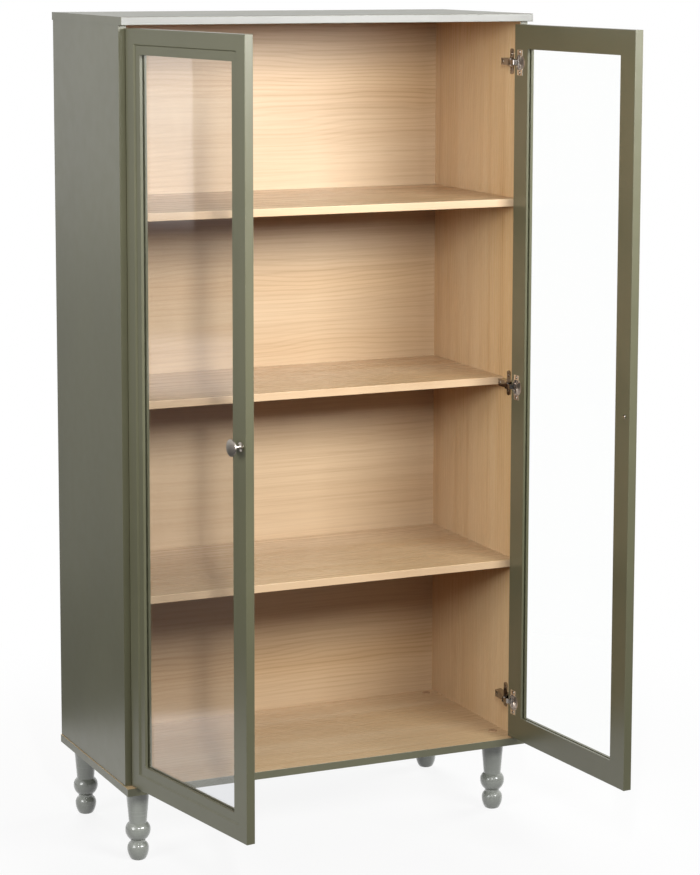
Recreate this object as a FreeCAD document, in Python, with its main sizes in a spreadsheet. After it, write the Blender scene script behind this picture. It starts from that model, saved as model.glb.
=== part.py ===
"""Tall bookcase with two framed glass doors on concealed cup hinges and four turned legs.

Every piece is modelled in its own frame and then placed. X runs to the right, Y runs
from the front towards the back and Z points up. The doors stand open, as they are stored.
"""
import FreeCAD, Part
import math
import os
import re
import Sketcher

Vector = FreeCAD.Vector
Placement = FreeCAD.Placement
Rotation = FreeCAD.Rotation

# Driving sizes in millimetres and degrees
SIZES = {
    # Cabinet
    "overall_height": 1700, "carcass_width": 892, "side_depth": 400, "board": 16,
    "panel_overhang": 2, "board_round": 1, "back_thick": 4, "back_recess": 2,
    "rebate_width": 8, "back_play": 0.2,
    # Shelves and their pins
    "shelf_setback": 3, "middle_setback": 62, "shelf_play": 0.4,
    "pin_radius": 2.5, "pin_in_length": 8, "pin_out_length": 9,
    "pin_front_inset": 100, "pin_back_inset": 340,
    # Dowels between the sides and the top and bottom
    "dowel_radius": 4, "dowel_panel_depth": 10, "dowel_side_depth": 20, "dowel_front_inset": 60,
    "dowel_back_inset": 345, "dowel_chamfer": 1, "tight": 0.02,
    # Back panel screws
    "tack_radius": 1.4, "tack_head": 2.6, "tack_head_thick": 1.4, "tack_length": 14, "tack_edge_inset": 4,
    # Legs, with the radius and the level of each point of the turned outline
    "leg_height": 153, "leg_side_inset": 42.2, "leg_front_inset": 45, "leg_back_inset": 30,
    "leg_top_radius": 24.6, "leg_neck_radius": 18.3, "leg_neck_level": 77,
    "bulb_top_radius": 23.9, "bulb_top_level": 70.4, "bulb_radius": 25.9, "bulb_level": 62,
    "bulb_low_radius": 23.1, "bulb_low_level": 50.4,
    "waist_radius": 15.4, "waist_level": 39, "waist_half": 2.2,
    "foot_top_radius": 20.3, "foot_top_level": 31, "foot_radius": 22.1, "foot_level": 23.5,
    "ankle_radius": 20.4, "ankle_level": 12, "sole_radius": 15.5,
    "glide_thick": 1.5, "glide_radius": 13, "glide_chamfer": 0.5,
    "bolt_radius": 4, "bolt_head_radius": 7, "bolt_head_thick": 5, "bolt_leg_depth": 45,
    "bore_depth": 7, "cap_radius": 9, "cap_thick": 1.6, "cap_bevel": 1, "cap_plug": 1.5,
    # Doors
    "door_thick": 18, "door_back_gap": 2.5, "door_edge_inset": 7.5, "door_meeting_gap": 3,
    "door_gap_low": 2.5, "door_gap_high": 5.5, "left_open_angle": 80.5, "right_open_angle": 94,
    "member_width": 50, "outer_band": 30, "step_width": 2.5, "step_depth": 3,
    "groove_depth": 8, "glass_thick": 4, "glass_inset": 9, "glass_play": 0.15, "glass_edge_play": 0.8,
    "door_round": 1.2, "mitre_spare": 1,
    # Knob
    "knob_edge_inset": 17, "knob_radius": 16, "knob_projection": 24, "knob_base_radius": 9,
    "knob_neck_radius": 5, "knob_rim_thick": 2.6, "knob_base_thick": 1.5, "knob_crown": 2,
    "knob_flare_radius": 6, "knob_flare_rise": 2, "knob_cove_radius": 7.4, "knob_cove_rise": 1.4,
    "knob_crown_drop": 0.5, "screw_radius": 2, "screw_head_radius": 4, "screw_head_thick": 2.2,
    "screw_knob_depth": 13, "lone_screw_depth": 14, "head_rim_share": 0.4, "head_top_share": 0.6,
    # Cup hinges
    "hinge_inset": 78, "cup_radius": 17.5, "cup_edge_inset": 3.5, "cup_depth": 11.5, "cup_wall": 0.8,
    "ear_width": 18, "ear_reach": 26, "ear_thick": 1.2, "ear_screw_offset": 21.5,
    "cup_pin_inset": 10, "cup_pin_depth": 4, "cup_pin_half": 12.2, "hinge_pin_radius": 1.5,
    "arm_pin_offset": 20.5, "arm_pin_inset": 2, "link_turn": 0.45, "link_rise": 8,
    "link_half": 1.3, "link_eye": 3, "link_side": 5, "link_play": 0.3, "pin_play": 0.05,
    "plate_thick": 2.4, "wing_inset": 34, "wing_half": 7, "wing_reach": 26.5, "wing_round": 4,
    "tongue_front_inset": 18, "tongue_back_inset": 58, "plate_screw_offset": 16, "plate_screw_depth": 11,
    "arm_wall": 1.8, "arm_rise": 14.1, "arm_nose": 3.4, "arm_heel_inset": 57, "arm_heel_bevel": 4,
    "arm_toe_inset": 16, "arm_shoulder_inset": 22, "arm_screw_inset": 48,
    "small_screw_radius": 1.9, "small_head_radius": 3.8, "small_head_thick": 1.6,
    "cup_screw_depth": 11,
}

# Sizes that follow from the driving ones
FOLLOWING = {
    "overall_width": "carcass_width + 2 * panel_overhang",
    "front_reach": "door_back_gap + door_thick",
    "panel_depth": "side_depth + front_reach",
    "floor_top": "leg_height + board",
    "roof_under": "overall_height - board",
    "inner_height": "roof_under - floor_top",
    "inner_width": "carcass_width - 2 * board",
    "back_front": "side_depth - back_recess - back_thick",
    "rebate_depth": "back_recess + back_thick",
    "shelf_pitch": "(inner_height + board) / 4",
    "leg_span": "carcass_width - 2 * leg_side_inset",
    "leg_row": "side_depth - leg_front_inset - leg_back_inset",
    "door_low": "floor_top + door_gap_low",
    "door_high": "roof_under - door_gap_high",
    "door_height": "door_high - door_low",
    "door_mid": "(door_low + door_high) / 2",
    "door_width": "(carcass_width - 2 * door_edge_inset - door_meeting_gap) / 2",
    "hinge_pitch": "(door_height - 2 * hinge_inset) / 2",
    "through_door": "3 * door_thick",
    "knob_disc": "knob_projection - knob_rim_thick - knob_crown",
    "cup_centre": "cup_edge_inset + cup_radius",
    "plate_top": "board + plate_thick",
    "arm_top": "plate_top + arm_rise",
    "arm_pin_x": "board + arm_pin_offset",
    "cup_pin_x": "door_edge_inset + cup_pin_inset",
    "cup_pin_y": "-door_back_gap - cup_pin_depth",
    "cup_pin_level": "door_thick - cup_pin_depth",
    "link_run": "cup_pin_x - arm_pin_x",
    "link_fall": "cup_pin_y - arm_pin_inset",
    "link_span": "sqrt(link_run * link_run + link_fall * link_fall)",
    "link_radius": "(link_span * link_span / 4 + link_rise * link_rise) / (2 * link_rise)",
    "link_x": "(arm_pin_x + cup_pin_x) / 2 - link_fall / link_span * (link_rise - link_radius)",
    "link_y": "(arm_pin_inset + cup_pin_y) / 2 + link_run / link_span * (link_rise - link_radius)",
}

doc = FreeCAD.newDocument("Bookcase")
sheet = doc.addObject("Spreadsheet::Sheet", "Sizes")
for row, (alias, content) in enumerate({**SIZES, **FOLLOWING}.items(), start=1):
    sheet.set(f"A{row}", alias)
    sheet.set(f"B{row}", f"={content}" if alias in FOLLOWING else str(content))
    sheet.setAlias(f"B{row}", alias)
doc.recompute()

ALIASES = set(SIZES) | set(FOLLOWING)
TACK_LEVELS = (0.1, 0.3, 0.5, 0.7, 0.9)
NODES = []


def bound(formula):
    """Turns the size names in a formula into references to the sheet."""
    return re.sub(r"[a-z][a-z_]*", lambda m: f"Sizes.{m[0]}" if m[0] in ALIASES else m[0], formula)


def number(formula):
    """Gives a formula's value in millimetres."""
    return float(sheet.evalExpression(bound(formula)))


def new_body(label):
    """Makes a body that becomes one node of the bookcase."""
    body = doc.addObject("PartDesign::Body", label)
    body.Label = label
    NODES.append(body)
    return body


def origin_of(body, role):
    """Finds one of a body's own origin planes or axes."""
    return next(item for item in body.Origin.OriginFeatures if item.Role == role)


class Outline:
    """A sketch on one of a body's origin planes, with its points held by sheet formulas."""

    def __init__(self, body, plane, offset="0"):
        self.sketch = body.newObject("Sketcher::SketchObject", f"{body.Label}_outline")
        self.sketch.AttachmentSupport = (origin_of(body, plane), [""])
        self.sketch.MapMode = "FlatFace"
        if offset != "0":
            self.sketch.setExpression("AttachmentOffset.Base.z", bound(offset))

    def hold(self, kind, geometry, point, formula):
        """Keeps a point at a signed distance from the sketch's origin."""
        if formula == "0":
            axis = -2 if kind == "DistanceX" else -1
            self.sketch.addConstraint(Sketcher.Constraint("PointOnObject", geometry, point, axis))
            return
        value = number(formula)
        index = self.sketch.addConstraint(Sketcher.Constraint(kind, -1, 1, geometry, point, value))
        self.sketch.setExpression(f"Constraints[{index}]", bound(formula))

    def loop(self, corners):
        """Draws a closed outline.

        A corner is (x, y), or (x, y, via) where via lies on an arc to the next corner.
        """
        spots = [Vector(number(c[0]), number(c[1])) for c in corners]
        ends = []
        for index, corner in enumerate(corners):
            first, second = spots[index], spots[(index + 1) % len(spots)]
            if len(corner) == 2:
                ends.append((self.sketch.addGeometry(Part.LineSegment(first, second), False), 1, 2))
                continue
            middle = Vector(number(corner[2][0]), number(corner[2][1]))
            ends.append(self.arc(first, middle, second))
        for index, corner in enumerate(corners):
            line, start, _ = ends[index]
            before, _, finish = ends[index - 1]
            self.sketch.addConstraint(Sketcher.Constraint("Coincident", before, finish, line, start))
            self.hold("DistanceX", line, start, corner[0])
            self.hold("DistanceY", line, start, corner[1])
        return self

    def arc(self, first, middle, second):
        """Adds an arc through three points and gives its index, start and end.

        A half circle is already held by its two ends, so only a shorter arc gets a radius.
        """
        circle = Part.Circle(first, middle, second)
        centre, radius = circle.Center, circle.Radius
        angles = [math.atan2(p.y - centre.y, p.x - centre.x) for p in (first, second)]
        leftward = (middle - first).cross(second - middle).z > 0
        low, high = angles if leftward else reversed(angles)
        round_part = Part.Circle(centre, Vector(0, 0, 1), radius)
        index = self.sketch.addGeometry(Part.ArcOfCircle(round_part, low, high), False)
        if (second - first).Length < 1.99 * radius:
            self.sketch.addConstraint(Sketcher.Constraint("Radius", index, radius))
        return (index, 1, 2) if leftward else (index, 2, 1)

    def rectangle(self, left, right, low, high):
        """Draws a rectangle between four formulas."""
        return self.loop([(left, low), (right, low), (right, high), (left, high)])

    def circle(self, across, up, radius):
        """Draws a circle about a point."""
        centre = Vector(number(across), number(up))
        ring = Part.Circle(centre, Vector(0, 0, 1), number(radius))
        index = self.sketch.addGeometry(ring, False)
        self.hold("DistanceX", index, 3, across)
        self.hold("DistanceY", index, 3, up)
        size = self.sketch.addConstraint(Sketcher.Constraint("Radius", index, number(radius)))
        self.sketch.setExpression(f"Constraints[{size}]", bound(radius))
        return self


def extrude(body, kind, outline, length, both=False, flip=False):
    """Pads or pockets an outline by a sheet formula."""
    feature = body.newObject(f"PartDesign::{kind}", f"{body.Label}_{kind.lower()}")
    feature.Profile = outline.sketch
    feature.setExpression("Length", bound(length))
    feature.Reversed = flip
    if both:
        feature.SideType = "Symmetric"
    outline.sketch.Visibility = False
    doc.recompute()
    return feature


def pad(body, outline, length, both=False, flip=False):
    """Adds an extruded outline to a body."""
    return extrude(body, "Pad", outline, length, both, flip)


def pocket(body, outline, length, both=False, flip=False):
    """Cuts an extruded outline out of a body, and makes sure that it cuts."""
    before = body.Shape.Volume
    feature = extrude(body, "Pocket", outline, length, both, flip)
    if body.Shape.Volume > before - 1e-6:
        raise RuntimeError(f"a pocket of {body.Label} cuts nothing")
    return feature


def turn(body, outline):
    """Revolves an outline about its own upright axis."""
    feature = body.newObject("PartDesign::Revolution", f"{body.Label}_turning")
    feature.Profile = outline.sketch
    feature.ReferenceAxis = (outline.sketch, ["V_Axis"])
    feature.Angle = 360
    doc.recompute()
    return feature


def repeat(body, axis, length, count):
    """Repeats everything in a body along one of its axes."""
    pattern = body.newObject("PartDesign::LinearPattern", f"{body.Label}_row")
    pattern.TransformMode = "Whole shape"
    pattern.Direction = (origin_of(body, axis), [""])
    pattern.setExpression("Length", bound(length))
    pattern.Occurrences = count
    body.Tip = pattern
    doc.recompute()


def soften(body, base, radius, chosen):
    """Rounds the edges of a feature whose end points all pass the chosen test."""
    names = []
    for index, edge in enumerate(base.Shape.Edges, start=1):
        if all(chosen(vertex.Point) for vertex in edge.Vertexes):
            names.append(f"Edge{index}")
    fillet = body.newObject("PartDesign::Fillet", f"{body.Label}_round")
    fillet.Base = (base, names)
    fillet.setExpression("Radius", bound(radius))
    doc.recompute()


def near(value, formula):
    """Tells whether a coordinate lies on a plane given by a formula."""
    return abs(value - number(formula)) < 1e-4


def at(x="0", y="0", z="0", rotation=None):
    """Makes a placement from three formulas."""
    return Placement(Vector(number(x), number(y), number(z)), rotation or Rotation())


def make_end_panel(label, low, face, into_flip):
    """Makes the top or bottom panel, with dowel holes and a back rebate in its inner face."""
    body = new_body(label)
    slab = pad(body, Outline(body, "XY_Plane").rectangle("0", "overall_width", "0", "panel_depth"), "board")
    soften(body, slab, "board_round", lambda p: near(p.y, "0"))
    holes = Outline(body, "XY_Plane", face)
    for across in ("panel_overhang + board / 2", "panel_overhang + carcass_width - board / 2"):
        for back in ("front_reach + dowel_front_inset", "front_reach + dowel_back_inset"):
            holes.circle(across, back, "dowel_radius + tight")
    pocket(body, holes, "dowel_panel_depth", flip=into_flip)
    rebate = Outline(body, "XY_Plane", face).rectangle(
        "panel_overhang + board - rebate_width", "panel_overhang + carcass_width - board + rebate_width",
        "panel_depth - rebate_depth", "panel_depth")
    pocket(body, rebate, "rebate_width", flip=into_flip)
    body.Placement = at("-overall_width / 2", "-front_reach", low)
    return body


def drill_leg_holes(body):
    """Drills the bottom panel for the four leg bolts, with a seat for each head."""
    for radius, level, depth in (("bolt_radius + tight", "board", "board"),
                                 ("bolt_head_radius + tight", "board", "bore_depth")):
        holes = Outline(body, "XY_Plane", level)
        for across in ("panel_overhang + leg_side_inset", "panel_overhang + leg_side_inset + leg_span"):
            for back in ("front_reach + leg_front_inset", "front_reach + leg_front_inset + leg_row"):
                holes.circle(across, back, radius)
        pocket(body, holes, depth)


def make_side_panel(label, left):
    """Makes a side panel: dowel holes in both ends, back rebate, pin holes and hinge screw holes."""
    body = new_body(label)
    inner = "board" if left else "0"
    slab = pad(body, Outline(body, "XY_Plane").rectangle("0", "board", "0", "side_depth"), "inner_height")
    soften(body, slab, "board_round", lambda p: near(p.y, "0") and not near(p.z, "0"))
    lip = ("board - rebate_width", "board") if left else ("0", "rebate_width")
    rebate = Outline(body, "XY_Plane").rectangle(*lip, "side_depth - rebate_depth", "side_depth")
    pocket(body, rebate, "inner_height", flip=True)
    for level, flip in (("0", True), ("inner_height", False)):
        ends = Outline(body, "XY_Plane", level)
        ends.circle("board / 2", "dowel_front_inset", "dowel_radius + tight")
        ends.circle("board / 2", "dowel_back_inset", "dowel_radius + tight")
        pocket(body, ends, "dowel_side_depth", flip=flip)
    pins = Outline(body, "YZ_Plane", inner)
    for shelf in (1, 2, 3):
        for back in ("pin_front_inset", "pin_back_inset"):
            pins.circle(back, f"{shelf} * shelf_pitch - board - pin_radius", "pin_radius + tight")
    pocket(body, pins, "pin_in_length", flip=not left)
    screws = Outline(body, "YZ_Plane", inner)
    for step in (-1, 0, 1):
        for end in (-1, 1):
            level = f"door_mid - floor_top + {step} * hinge_pitch + {end} * plate_screw_offset"
            screws.circle("wing_inset", level, "small_screw_radius + tight")
    pocket(body, screws, "plate_screw_depth", flip=not left)
    tacks = Outline(body, "XZ_Plane", "rebate_depth - side_depth")
    across = "board - rebate_width + tack_edge_inset" if left else "rebate_width - tack_edge_inset"
    for level in TACK_LEVELS:
        tacks.circle(across, f"{level} * inner_height", "tack_radius + tight")
    pocket(body, tacks, "tack_length - back_thick", flip=True)
    body.Placement = at("-carcass_width / 2" if left else "carcass_width / 2 - board", "0", "floor_top")


def make_back_panel():
    """Makes the thin back that sits in the rebate all round, drilled for its screws."""
    body = new_body("back_panel")
    width = "inner_width + 2 * rebate_width - 2 * back_play"
    height = "inner_height + 2 * rebate_width - 2 * back_play"
    pad(body, Outline(body, "XY_Plane").rectangle("0", width, "0", "back_thick"), height)
    holes = Outline(body, "XZ_Plane")
    far = "inner_width + 2 * rebate_width - tack_edge_inset - back_play"
    for across in ("tack_edge_inset - back_play", far):
        for level in TACK_LEVELS:
            up = f"rebate_width - back_play + {level} * inner_height"
            holes.circle(across, up, "tack_radius + tight")
    pocket(body, holes, "back_thick")
    body.Placement = at("-inner_width / 2 - rebate_width + back_play", "back_front",
                        "floor_top - rebate_width + back_play")


def make_back_screws():
    """Makes the screws that hold the back to the rebates of the two sides."""
    body = new_body("back_panel_screws")
    shape = [("0", "tack_head_thick"), ("0", "-tack_length"), ("tack_radius", "-tack_length + tack_radius"),
             ("tack_radius", "0"), ("tack_head", "0"), ("tack_head * head_top_share", "tack_head_thick")]
    turn(body, Outline(body, "XY_Plane").loop(shape))
    repeat(body, "X_Axis", "inner_width + 2 * rebate_width - 2 * tack_edge_inset", 2)
    repeat(body, "Z_Axis", f"{TACK_LEVELS[-1] - TACK_LEVELS[0]} * inner_height", len(TACK_LEVELS))
    body.Placement = at("-inner_width / 2 - rebate_width + tack_edge_inset", "side_depth - back_recess",
                        f"floor_top + {TACK_LEVELS[0]} * inner_height")


def make_shelf(label, number_up, setback):
    """Makes a shelf with a softened front edge, resting on its pins."""
    body = new_body(label)
    depth = f"back_front - shelf_play - {setback}"
    plan = Outline(body, "XY_Plane").rectangle("0", "inner_width - 2 * shelf_play", "0", depth)
    slab = pad(body, plan, "board")
    soften(body, slab, "board_round", lambda p: near(p.y, "0"))
    level = f"floor_top + {number_up} * shelf_pitch - board"
    body.Placement = at("-inner_width / 2 + shelf_play", setback, level)


def make_shelf_pins():
    """Makes the twelve pins under the shelves, four to each."""
    body = new_body("shelf_pins")
    end = Outline(body, "YZ_Plane", "-pin_in_length").circle("0", "0", "pin_radius")
    pad(body, end, "pin_in_length + pin_out_length")
    repeat(body, "Y_Axis", "pin_back_inset - pin_front_inset", 2)
    repeat(body, "Z_Axis", "2 * shelf_pitch", 3)
    left_half = body.Tip
    flipped = body.newObject("PartDesign::Mirrored", "shelf_pins_other_side")
    flipped.TransformMode = "Whole shape"
    plane = body.newObject("PartDesign::Plane", "middle_plane")
    plane.AttachmentSupport = (origin_of(body, "YZ_Plane"), [""])
    plane.MapMode = "FlatFace"
    plane.setExpression("AttachmentOffset.Base.z", bound("inner_width / 2"))
    flipped.MirrorPlane = (plane, [""])
    flipped.BaseFeature = left_half
    body.Tip = flipped
    doc.recompute()
    body.Placement = at(
        "-inner_width / 2", "pin_front_inset", "floor_top + shelf_pitch - board - pin_radius")


def make_dowels():
    """Makes the glued dowels between the sides and the top and bottom panels."""
    body = new_body("carcass_dowels")
    long = "dowel_panel_depth + dowel_side_depth"
    shape = [("0", "0"), ("dowel_radius - dowel_chamfer", "0"), ("dowel_radius", "dowel_chamfer"),
             ("dowel_radius", f"{long} - dowel_chamfer"), ("dowel_radius - dowel_chamfer", long),
             ("0", long)]
    turn(body, Outline(body, "XZ_Plane").loop(shape))
    repeat(body, "Z_Axis", f"inner_height + 2 * dowel_panel_depth - ({long})", 2)
    repeat(body, "Y_Axis", "dowel_back_inset - dowel_front_inset", 2)
    repeat(body, "X_Axis", "carcass_width - board", 2)
    body.Placement = at(
        "-carcass_width / 2 + board / 2", "dowel_front_inset", "floor_top - dowel_panel_depth")


def make_leg(label, across, back):
    """Turns one leg: foot, waist, bulb and a tapering column, bored for its bolt."""
    body = new_body(label)
    shape = [("0", "glide_thick"), ("sole_radius", "glide_thick", ("ankle_radius", "ankle_level")),
             ("foot_radius", "foot_level", ("foot_top_radius", "foot_top_level")),
             ("waist_radius", "waist_level - waist_half"),
             ("waist_radius", "waist_level + waist_half", ("bulb_low_radius", "bulb_low_level")),
             ("bulb_radius", "bulb_level", ("bulb_top_radius", "bulb_top_level")),
             ("leg_neck_radius", "leg_neck_level"), ("leg_top_radius", "leg_height"), ("0", "leg_height")]
    turn(body, Outline(body, "XZ_Plane").loop(shape))
    bore = Outline(body, "XY_Plane", "leg_height").circle("0", "0", "bolt_radius + tight")
    pocket(body, bore, "bolt_leg_depth")
    body.Placement = at(across, back)


def make_leg_row(label, shape):
    """Makes one turned piece for each of the four legs."""
    body = new_body(label)
    turn(body, Outline(body, "XZ_Plane").loop(shape))
    repeat(body, "X_Axis", "leg_span", 2)
    repeat(body, "Y_Axis", "leg_row", 2)
    body.Placement = at("-leg_span / 2", "leg_front_inset")


def make_leg_fittings():
    """Makes the glides under the legs, the bolts that hold them and the caps over the bolt heads."""
    make_leg_row("leg_glides", [
        ("0", "0"), ("glide_radius - glide_chamfer", "0"), ("glide_radius", "glide_chamfer"),
        ("glide_radius", "glide_thick"), ("0", "glide_thick")])
    tip = "leg_height - bolt_leg_depth"
    seat = "floor_top - bore_depth"
    crown = f"{seat} + bolt_head_thick"
    make_leg_row("leg_bolts", [
        ("0", tip), ("bolt_radius", tip), ("bolt_radius", seat), ("bolt_head_radius", seat),
        ("bolt_head_radius", crown), ("0", crown)])
    make_leg_row("leg_bolt_caps", [
        ("0", "floor_top - cap_plug"), ("bolt_head_radius", "floor_top - cap_plug"),
        ("bolt_head_radius", "floor_top"), ("cap_radius", "floor_top"),
        ("cap_radius", "floor_top + cap_thick - cap_bevel"),
        ("cap_radius - cap_bevel", "floor_top + cap_thick"), ("0", "floor_top + cap_thick")])


def member_section():
    """Gives a frame member's section: outer band, bevelled step, inner band, glass groove and flat back."""
    groove = "member_width - groove_depth"
    rear = "glass_inset + glass_thick + glass_play"
    return [("0", "0"), ("outer_band", "0"), ("outer_band + step_width", "step_depth"),
            ("member_width", "step_depth"), ("member_width", "glass_inset - glass_play"),
            (groove, "glass_inset - glass_play"), (groove, rear), ("member_width", rear),
            ("member_width", "door_thick"), ("0", "door_thick")]


def make_member(label, length, turned):
    """Makes a stile or rail: the section drawn out to its length, both ends mitred."""
    body = new_body(label)
    bar = pad(body, Outline(body, "XY_Plane").loop(member_section()), length, both=True)
    soften(body, bar, "door_round", lambda p: near(p.x, "0"))
    for end in (1, -1):
        tip = f"{end} * ({length}) / 2"
        past = f"{tip} + {end} * mitre_spare"
        beyond = "member_width + mitre_spare"
        cut = Outline(body, "XZ_Plane").loop([
            ("-mitre_spare", past), (beyond, f"{tip} - {end} * ({beyond})"), (beyond, past)])
        pocket(body, cut, "through_door", both=True)
    body.Placement = turned
    return body


def drill_hinge_stile(body):
    """Bores the cups and their screw holes into the hinge stile's back face."""
    cups = Outline(body, "XZ_Plane", "-door_thick")
    screws = Outline(body, "XZ_Plane", "-door_thick")
    for step in (-1, 0, 1):
        cups.circle("cup_centre", f"{step} * hinge_pitch", "cup_radius + tight")
        for end in (-1, 1):
            level = f"{step} * hinge_pitch + {end} * ear_screw_offset"
            screws.circle("cup_centre", level, "small_screw_radius + tight")
    pocket(body, cups, "cup_depth + tight", flip=True)
    pocket(body, screws, "cup_screw_depth - ear_thick", flip=True)


def make_knob(side):
    """Turns a knob: a base, a slim neck and a broad disc with a low crown, bored for its screw."""
    body = new_body(f"{side}_knob")
    rim = "-(knob_disc) - knob_rim_thick"
    turn(body, Outline(body, "XY_Plane").loop([
        ("screw_radius + tight", "0"), ("knob_base_radius", "0"),
        ("knob_base_radius", "-knob_base_thick",
         ("knob_flare_radius", "-knob_base_thick - knob_flare_rise")),
        ("knob_neck_radius", "-knob_projection / 3"),
        ("knob_neck_radius", "-knob_projection / 2", ("knob_cove_radius", "knob_cove_rise - knob_disc")),
        ("knob_radius", "-knob_disc"),
        ("knob_radius", rim, ("knob_radius / 2", "knob_crown_drop - knob_projection")),
        ("0", "-knob_projection"), ("0", "-screw_knob_depth"),
        ("screw_radius + tight", "-screw_knob_depth")]))
    body.Placement = at("door_width - knob_edge_inset")
    return body


def make_stile_screw(label, tip):
    """Makes the screw in the free stile, its head on the inner face and its end at a given depth."""
    body = new_body(label)
    head = "door_thick + screw_head_thick"
    rim = "door_thick + screw_head_thick * head_rim_share"
    turn(body, Outline(body, "XY_Plane").loop([
        ("0", tip), ("screw_radius", tip), ("screw_radius", "door_thick"),
        ("screw_head_radius", "door_thick"), ("screw_head_radius", rim),
        ("screw_head_radius * head_top_share", head), ("0", head)]))
    body.Placement = at("door_width - knob_edge_inset")
    return body


def make_door(side, door, knobbed):
    """Makes the pieces that swing with one door, in the door's own frame.

    X runs from the hinge edge, Y from the outer face to the inner one and Z up from mid-height.
    """
    mirror = Rotation(Vector(0, 1, 0), 180)
    height, width = "door_height", "door_width"
    stile = make_member(f"{side}_door_hinge_stile", height, Placement())
    drill_hinge_stile(stile)
    free = make_member(f"{side}_door_free_stile", height, at(width, rotation=mirror))
    hole = Outline(free, "XZ_Plane", "-door_thick").circle("knob_edge_inset", "0", "screw_radius + tight")
    pocket(free, hole, "door_thick" if knobbed else "lone_screw_depth", flip=True)
    across = at(f"{width} / 2")
    upper = at(z=f"{height} / 2", rotation=Rotation(Vector(0, 1, 0), 90))
    lower = at(z=f"-{height} / 2", rotation=Rotation(Vector(0, 1, 0), -90))
    top = make_member(f"{side}_door_top_rail", width, across.multiply(upper))
    bottom = make_member(f"{side}_door_bottom_rail", width, across.multiply(lower))

    glass = new_body(f"{side}_door_glass")
    margin = "member_width - groove_depth + glass_edge_play"
    sheet_plan = Outline(glass, "XY_Plane").rectangle(
        margin, f"door_width - ({margin})", "glass_inset", "glass_inset + glass_thick")
    pad(glass, sheet_plan, f"door_height - 2 * ({margin})", both=True)

    cups = new_body(f"{side}_hinge_cups")
    low = "-hinge_pitch"
    face = "-door_thick"
    pad(cups, Outline(cups, "XZ_Plane", face).circle("cup_centre", low, "cup_radius"), "cup_depth")
    ears = Outline(cups, "XZ_Plane", face).rectangle(
        "cup_centre - ear_width / 2", "cup_centre + ear_width / 2",
        f"{low} - ear_reach", f"{low} + ear_reach")
    pad(cups, ears, "ear_thick", flip=True)
    mouth = Outline(cups, "XZ_Plane", "-door_thick - ear_thick")
    mouth.circle("cup_centre", low, "cup_radius - cup_wall")
    pocket(cups, mouth, "cup_depth + ear_thick - cup_wall", flip=True)
    holes = Outline(cups, "XZ_Plane", "-door_thick - ear_thick")
    for end in (-1, 1):
        holes.circle("cup_centre", f"{low} + {end} * ear_screw_offset", "small_screw_radius + tight")
    pocket(cups, holes, "ear_thick", flip=True)
    pin_hole = Outline(cups, "XY_Plane", low)
    pin_hole.circle("cup_pin_inset", "cup_pin_level", "hinge_pin_radius + tight")
    pocket(cups, pin_hole, "2 * cup_pin_half", both=True)
    repeat(cups, "Z_Axis", "2 * hinge_pitch", 3)

    pins = new_body(f"{side}_cup_pins")
    pad(pins, Outline(pins, "XY_Plane", low).circle("cup_pin_inset", "cup_pin_level", "hinge_pin_radius"),
        "2 * cup_pin_half", both=True)
    repeat(pins, "Z_Axis", "2 * hinge_pitch", 3)

    screws = new_body(f"{side}_cup_screws")
    turn(screws, Outline(screws, "XY_Plane").loop(small_screw("cup_screw_depth")))
    repeat(screws, "Z_Axis", "2 * ear_screw_offset", 2)
    repeat(screws, "Z_Axis", "2 * hinge_pitch", 3)
    screws.Placement = at("cup_centre", "door_thick + ear_thick", f"{low} - ear_screw_offset")

    pieces = [stile, free, top, bottom, glass, cups, pins, screws]
    if knobbed:
        pieces += [make_knob(side), make_stile_screw(f"{side}_knob_screw", "-screw_knob_depth")]
    else:
        pieces.append(make_stile_screw(f"{side}_door_screw", "door_thick - lone_screw_depth"))
    for piece in pieces:
        piece.Placement = door.multiply(piece.Placement)


def small_screw(deep):
    """Gives half of a small round-headed screw's outline, with its head above the face at zero."""
    return [("0", f"-{deep}"), ("small_screw_radius", f"small_screw_radius - {deep}"),
            ("small_screw_radius", "0"), ("small_head_radius", "0"),
            ("small_head_radius", "small_head_thick * head_rim_share"),
            ("small_head_radius * head_top_share", "small_head_thick"), ("0", "small_head_thick")]


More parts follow.
